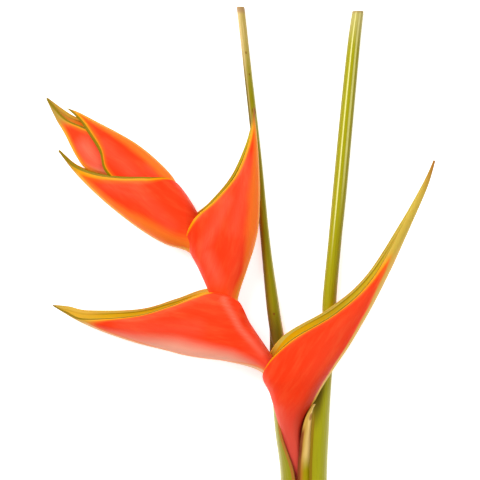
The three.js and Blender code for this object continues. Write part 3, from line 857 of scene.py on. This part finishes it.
# Across each leaf from its left side, at -1, to its right side, at 1
LEAF_SHADES = {
    "leaf_stalk_left": [
        (-1.0, (102, 82, 8)), (-0.66, (112, 92, 2)), (-0.35, (134, 114, 0)),
        (0.0, (142, 130, 0)), (0.4, (136, 128, 0)), (0.75, (150, 142, 34)),
        (1.0, (206, 200, 140)),
    ],
    "leaf_stalk_right": [
        (-1.0, (150, 140, 12)), (-0.5, (168, 163, 14)), (0.0, (162, 156, 0)),
        (0.6, (148, 138, 0)), (0.85, (136, 126, 6)), (1.0, (170, 162, 70)),
    ],
}
SHEATH_SHADES = {
    "leaf_stalk_left": [
        (-1.0, (196, 190, 130)), (-0.86, (150, 142, 36)), (-0.6, (146, 142, 18)),
        (1.0, (150, 140, 20)),
    ],
    "leaf_stalk_right": [
        (-1.0, (120, 104, 10)), (0.2, (146, 122, 0)), (0.36, (164, 156, 0)),
        (0.6, (167, 165, 0)), (0.85, (158, 154, 14)), (1.0, (176, 172, 84)),
    ],
}
CUT_SHADE = (226, 196, 150)
CUT_BULGE = 0.12  # mm by which a cut face is domed
ROD_UP = (-82.0, -52.0)  # mm up the stem, between which the sheath rolls up into the rod
# Layers as on the bracts. Height is in mm up the stem, across goes from -1 to 1, and share is how
# far it is round the leaf from its first edge to its last.
LEAF_FIBRES = [
    ((108, 92, 0), 0.22, {"fine": (0.5, 0.85)}),
    ((182, 172, 40), 0.2, {"broad": (0.5, 0.8)}),
]
LEAF_LAYERS = {
    "leaf_stalk_left": [
        # dark brown low on the rod and towards its left: partly the stalk's own brown, partly painted shade
        # beside the bracts
        ((74, 42, 16), 0.6, {"height": (-74, -60, -44, -26), "across": (0.9, 0.1)}),
        ("dry", 1, {"drying": (96, 136)}),
        ((214, 190, 118), 0.5, {"across": (-0.72, -0.58, -0.42, -0.2), "height": (60, 90)}),
        ((110, 64, 20), 0.6, {"flecks": (0.66, 0.74), "height": (70, 95)}),
        *[((120, 56, 10), 0.85, {f"nick {i}": (1.1, 0.4)}) for i in range(4)],
        ((178, 100, 44), 0.9, {"share": (0.022, 0.006), "height": (-80, -88)}),
    ],
    "leaf_stalk_right": [
        # painted highlights: a whitish line and a paler band on the ridges beside the groove, where they
        # catch the light
        ((238, 232, 148), 1, {"across": (-0.5, -0.36, -0.32, -0.2), "height": (-8, 30)}),
        ((212, 206, 120), 0.9, {"across": (0.16, 0.34, 0.46, 0.62), "height": (14, 60)}),
        ((214, 196, 136), 0.45, {"height": (112, 134)}),
        # painted shadow: dark olive on the left of the sheath, beside the foot of bract 1 above the inner
        # sheath's tip
        ((88, 70, 8), 0.9, {"height": (-99, -80, -66, -52), "across": (0.78, 0.34)}),
        ((140, 100, 10), 0.8, {"share": (0.984, 0.996), "height": (-84, -92)}),
    ],
}
CUT_LAYER = (CUT_SHADE, 1, {"cut": (0.1, 0.7)})
LEAF_ENDS = [
    ((166, 122, 92), 1, {"height": (133, 135.5), "scar": ()}),
    ((150, 136, 40), 0.5, {"inside": ()}),
    CUT_LAYER,
]
DRY_SHADES = [(186, 160, 84), (232, 200, 140)]
DRY_STREAKS = (0.45, 0.75)
LEAF_FINE = (1.6, 0.05, 1)
LEAF_BROAD = (0.3, 0.03, 1)
LEAF_FLECKS = (2, 0.8, 1)
LEAF_RELIEF = 0.2  # mm
# Healed nicks on the left leaf's stalk: side, height, half width across, half length in mm
LEAF_NICKS = [
    (0.02, -32.6, 0.2, 0.8),
    (0.42, 79.5, 0.5, 2.2),
    (0.1, 112.0, 0.22, 0.9),
    (0.3, 100.0, 0.2, 0.7),
]


def rolled_sheet(stations, place, columns, inset):
    """Points round a rolled leaf, from its first edge to its last, a share of the wall further in."""
    s = along_stations(stations, place)
    share = np.linspace(0, 1, columns + 1)[None, :]
    angle = np.radians(s[:, 5:6] + (s[:, 6:7] - s[:, 5:6]) * share)
    x = s[:, 1:2] + (s[:, 3:4] - inset * s[:, 7:8]) * np.cos(angle)
    z = s[:, 2:3] + (s[:, 4:5] - inset * s[:, 7:8]) * np.sin(angle)
    y = s[:, 0:1] + 0 * angle
    return np.dstack([x, y, z]), angle


def evenly(stations, row):
    """Places along the stations about one row's length apart."""
    gaps = np.abs(np.diff([station[0] for station in stations]))
    parts = [np.linspace(i, i + 1, max(int(gap / row), 1), endpoint=False) for i, gap in enumerate(gaps)]
    return np.concatenate([*parts, [len(gaps)]])


def rolled_piece(name, stations, ribs, rib_height, columns=LEAF_COLUMNS):
    """A ribbed wall rolled into an arc, with what its paint needs stored on it."""
    place = evenly(stations, LEAF_ROW)
    outer, angle = rolled_sheet(stations, place, columns, 0)
    inner = rolled_sheet(stations, place, columns, 1)[0]
    share = np.linspace(0, 1, columns + 1)[None, :]
    height = rib_height * (np.abs(np.sin(share * ribs * np.pi)) - 1)
    centre = outer * 0
    s = along_stations(stations, place)
    centre[..., 0] = s[:, 1:2]
    centre[..., 1] = outer[..., 1]
    centre[..., 2] = s[:, 2:3]
    arm = outer - centre
    arm /= np.linalg.norm(arm, axis=2, keepdims=True)
    outer = outer + arm * height[..., None]
    whole = np.ones_like(angle)
    fields = {
        "side": np.cos(angle),
        "height": outer[..., 1],
        "share": share * whole,
        "fibre": np.stack([share * whole * ribs, outer[..., 1], whole], -1),
    }
    pairs = {key: (value, value) for key, value in fields.items()}
    pairs["inside"] = (0 * whole, whole)
    return wall_piece(name, outer, inner, pairs, CUT_BULGE)


def paint_leaf(node_name):
    def stops(table):
        return {"stops": [((place + 1) / 2, shade(colour)) for place, colour in table]}

    def paint(start):
        fine = start.streaks(LEAF_FINE, 4.0)
        broad = start.streaks(LEAF_BROAD)
        measures = {name: start.field(name) for name in ("height", "share", "inside", "cut")}
        height = measures["height"]
        across = start.field("side") + (broad - 0.5) * 0.08
        measures |= {"fine": fine, "broad": broad, "across": across, "scar": fine + 0.2}
        side = (across + 1) * 0.5
        rod = start.node("ShaderNodeValToRGB", stops(LEAF_SHADES[node_name]), {0: side})
        sheath = start.node("ShaderNodeValToRGB", stops(SHEATH_SHADES[node_name]), {0: side})
        tones = {}
        if node_name == "leaf_stalk_left":
            streaks = (fine + across * -0.25).rise(*DRY_STREAKS)
            tones["dry"] = streaks.mix(*map(shade, DRY_SHADES))
            measures["drying"] = height + broad * 16
            measures["flecks"] = start.streaks(LEAF_FLECKS)
            for i, (x, y, wide, long) in enumerate(LEAF_NICKS):
                over = (across - x) * (1 / wide)
                up = (height - y) * (1 / long)
                measures[f"nick {i}"] = over * over + up * up + (fine - 0.5)
        layers = LEAF_FIBRES + LEAF_LAYERS[node_name] + LEAF_ENDS
        colour = layered(height.rise(*ROD_UP).mix(sheath, rod), layers, measures, tones)
        return colour, fine * 0.2 + 0.32, fine, LEAF_RELIEF

    return paint


# Strands: the ends of the hard fibres that run the length of a leaf, which stand out as dots on
# a cut face.
STRAND_RADIUS = 0.17
STRAND_GAP = 0.55
STRAND_DENSITY = 4e6  # the most a square metre
STRAND_FLATNESS = (1.0, 1.0, 0.6)
STRAND_SHADES = [(150, 104, 58), (206, 168, 112)]
ON_CUT = 0.7
FIRST_SEED = 3
STRAND_INPUTS = {
    "Gap": "Float",
    "Radius": "Float",
    "Seed": "Int",
    "Finish": "Material",
    "Wall finish": "Material",
}


def paint_strand(start):
    speck = start.speckle(2000.0)
    colour = speck.rise(0.35, 0.65).mix(*map(shade, STRAND_SHADES))
    return colour, speck * 0.3 + 0.5, speck, 0.05


def strand_tree(name):
    tree, wires = new_tree(name, STRAND_INPUTS)
    wall = wires["Geometry"]
    cut = wall.node("GeometryNodeInputNamedAttribute", {"data_type": "FLOAT"}, {"Name": "cut"})
    on_cut = cut.math("GREATER_THAN", ON_CUT)
    spread = {
        "Mesh": wall,
        "Selection": on_cut,
        "Distance Min": wires["Gap"],
        "Density Max": STRAND_DENSITY,
        "Seed": wires["Seed"],
    }
    dots = wall.node("GeometryNodeDistributePointsOnFaces", {"distribute_method": "POISSON"}, spread)
    turned = Wire(tree, dots.socket.node.outputs["Rotation"])
    ball = wall.node("GeometryNodeMeshIcoSphere", None, {"Radius": wires["Radius"], "Subdivisions": 2})
    copies = {"Points": dots, "Instance": ball, "Rotation": turned, "Scale": STRAND_FLATNESS}
    strands = wall.node("GeometryNodeInstanceOnPoints", None, copies)
    finished = dressed(strands, wires["Finish"])
    real = wall.node("GeometryNodeRealizeInstances", None, {"Geometry": finished})
    smooth = wall.node("GeometryNodeSetShadeSmooth", None, {"Geometry": real})
    clad = dressed(wall, wires["Wall finish"])
    both = clad.node("GeometryNodeJoinGeometry", None, {"Geometry": clad})
    tree.links.new(smooth.socket, both.socket.node.inputs["Geometry"])
    end_tree(both)
    return tree


strands = strand_tree("leaf strands")
strand_finish = material("strand end", {}, paint_strand)
strand_values = {"Gap": STRAND_GAP * MM, "Radius": STRAND_RADIUS * MM, "Finish": strand_finish}
for seed, (node_name, stations) in enumerate(LEAVES.items(), FIRST_SEED):
    leaf = rolled_piece(f"{node_name}_rind", stations, LEAF_RIBS, RIB_HEIGHT)
    leaf_finish = material(f"{node_name} rind", LEAF_GLOSS, paint_leaf(node_name))
    grow(leaf, strands, {**strand_values, "Seed": seed, "Wall finish": leaf_finish})
    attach(leaf, "root")
    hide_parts(node_name)

# ------------------------------------------------------------------------------------------
# Inner sheath: the dry, tan foot of the youngest leaf, a thin pointed strip that lies between
# the flower stalk and the right leaf's sheath and turns olive where it is younger, lower down.

INNER_SHEATH = [
    [CUT_Y, 34.8, 11.8, 9.9, 8.9, -70, 108, 1.5], [-118, 34.6, 11.8, 9.9, 8.9, -70, 106, 1.5],
    [-108, 34.6, 11.8, 9.9, 8.9, -60, 101, 1.5], [-97, 35, 11.8, 9.9, 8.9, -35, 95, 1.4],
    [-88, 35.3, 11.8, 9.9, 8.9, 10, 82, 1.3], [-81.5, 35.5, 11.8, 9.9, 8.9, 53, 60, 1.2],
]
SHEATH_RIBS = 9
SHEATH_COLORS = {
    "dry": (204, 164, 72),
    "pale": (236, 200, 120),
    "young": (168, 150, 0),
    "russet": (182, 112, 34),
    "edge": (150, 108, 12),
    "spot": (150, 84, 44),
    # seam: partly the stalk's red-brown, partly painted shade of the slit beside the bract's foot
    "seam": (122, 42, 26),
}
DRYING = (0.99, 0.8)
DRY = (0.3, 0.7)
RUSSET = (0.88, 0.97)
DRY_UP = (-118.0, -106.0)
SHEATH_LAYERS = [
    ("russet", 0.7, {"share": (0.9, 0.99), "height": (-90, -98)}),
    ("edge", 0.25, {"fine": (0.55, 0.8)}),
    # partly painted shade: the dark slit between this sheath's edge and the bract's foot, low down
    ("seam", 1, {"share": (0.94, 0.985), "height": (-93, -98), "stain": ()}),
    ("spot", 0.8, {"from_spot": (1.1, 0.3)}),
    CUT_LAYER,
]
SPOT_SHARE = 0.84
SPOT_Y = -88.2
SHEATH_FINE = (1.6, 0.06, 1)
SHEATH_BROAD = (0.5, 0.04, 1)
SHEATH_SEED = 9


def paint_sheath(start):
    tones = {key: shade(colour) for key, colour in SHEATH_COLORS.items()}
    fine = start.streaks(SHEATH_FINE, 4.0)
    broad = start.streaks(SHEATH_BROAD)
    height = start.field("height")
    share = start.field("share")
    drying = share.rise(*DRYING) * 0.6 + broad * 0.5
    dry = drying.rise(*DRY).mix(tones["dry"], tones["pale"])
    young = share.rise(*RUSSET).mix(tones["young"], tones["russet"])
    colour = (height + (broad - 0.5) * 10).rise(*DRY_UP).mix(young, dry)
    measures = {"height": height, "share": share, "fine": fine, "cut": start.field("cut")}
    # grain that breaks up the seam, whose dark red-brown is partly painted shade
    measures["stain"] = fine + 0.35
    over = (share - SPOT_SHARE) * 16
    up = (height - SPOT_Y) * 0.42
    measures["from_spot"] = over * over + up * up + (fine - 0.5)
    colour = layered(colour, SHEATH_LAYERS, measures, tones)
    return colour, fine * 0.25 + 0.42, fine, LEAF_RELIEF


inner_sheath = rolled_piece("inner_sheath_rind", INNER_SHEATH, SHEATH_RIBS, RIB_HEIGHT)
sheath_finish = material("inner sheath rind", LEAF_GLOSS, paint_sheath)
grow(inner_sheath, strands, {**strand_values, "Seed": SHEATH_SEED, "Wall finish": sheath_finish})
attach(inner_sheath, "root")
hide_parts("inner_sheath")

# ------------------------------------------------------------------------------------------
# Setting: a plain near-white table under wide, soft light, seen from straight above.

TABLE_SIZE = 3.0
VIEW_ACROSS = 0.264
VIEW_MIDDLE = (0, 8.25, 12)
LENS = 150.0
SENSOR = 36.0
# Name, place in metres from the middle, size in metres, power in watts
LIGHTS = [
    ("key", (-0.55, 0.55, 0.85), 0.7, 12.0),
    ("fill", (0.75, -0.3, 0.8), 1.0, 5.0),
]
DAYLIGHT = 0.3
TABLE_GLOW = 0.62
TABLE_SHADES = [(250, 250, 248), (252, 252, 251)]
TABLE_RELIEF = 0.02  # mm


def paint_table(start):
    haze = start.speckle(3.0)
    colour = haze.mix(*map(shade, TABLE_SHADES))
    return colour, haze * 0.1 + 0.7, haze, TABLE_RELIEF


corners = np.array([(-1, -1, 0), (1, -1, 0), (1, 1, 0), (-1, 1, 0)]) * TABLE_SIZE / 2 / MM
table = new_piece("table", corners, [], [(0, 1, 2, 3)])
table_fixed = {"Emission Color": (1, 1, 1, 1), "Emission Strength": TABLE_GLOW}
table.data.materials.append(material("table", table_fixed, paint_table))

camera_data = bpy.data.cameras.new("camera")
camera_data.lens = LENS
camera_data.sensor_width = SENSOR
camera = bpy.data.objects.new("camera", camera_data)
view_middle = MIDDLE + Vector(VIEW_MIDDLE) * MM
camera.location = view_middle + Vector((0, 0, VIEW_ACROSS * LENS / SENSOR))
bpy.context.scene.collection.objects.link(camera)
bpy.context.scene.camera = camera

for name, place, size, power in LIGHTS:
    lamp = bpy.data.lights.new(name, "AREA")
    lamp.size = size
    lamp.energy = power
    holder = bpy.data.objects.new(name, lamp)
    holder.location = MIDDLE + Vector(place)
    holder.rotation_euler = (-Vector(place)).to_track_quat("-Z", "Y").to_euler()
    bpy.context.scene.collection.objects.link(holder)

world = bpy.data.worlds.new("daylight")
world.use_nodes = True
world.node_tree.nodes["Background"].inputs["Color"].default_value = (1, 1, 1, 1)
world.node_tree.nodes["Background"].inputs["Strength"].default_value = DAYLIGHT
bpy.context.scene.world = world
bpy.context.scene.view_settings.view_transform = "Standard"
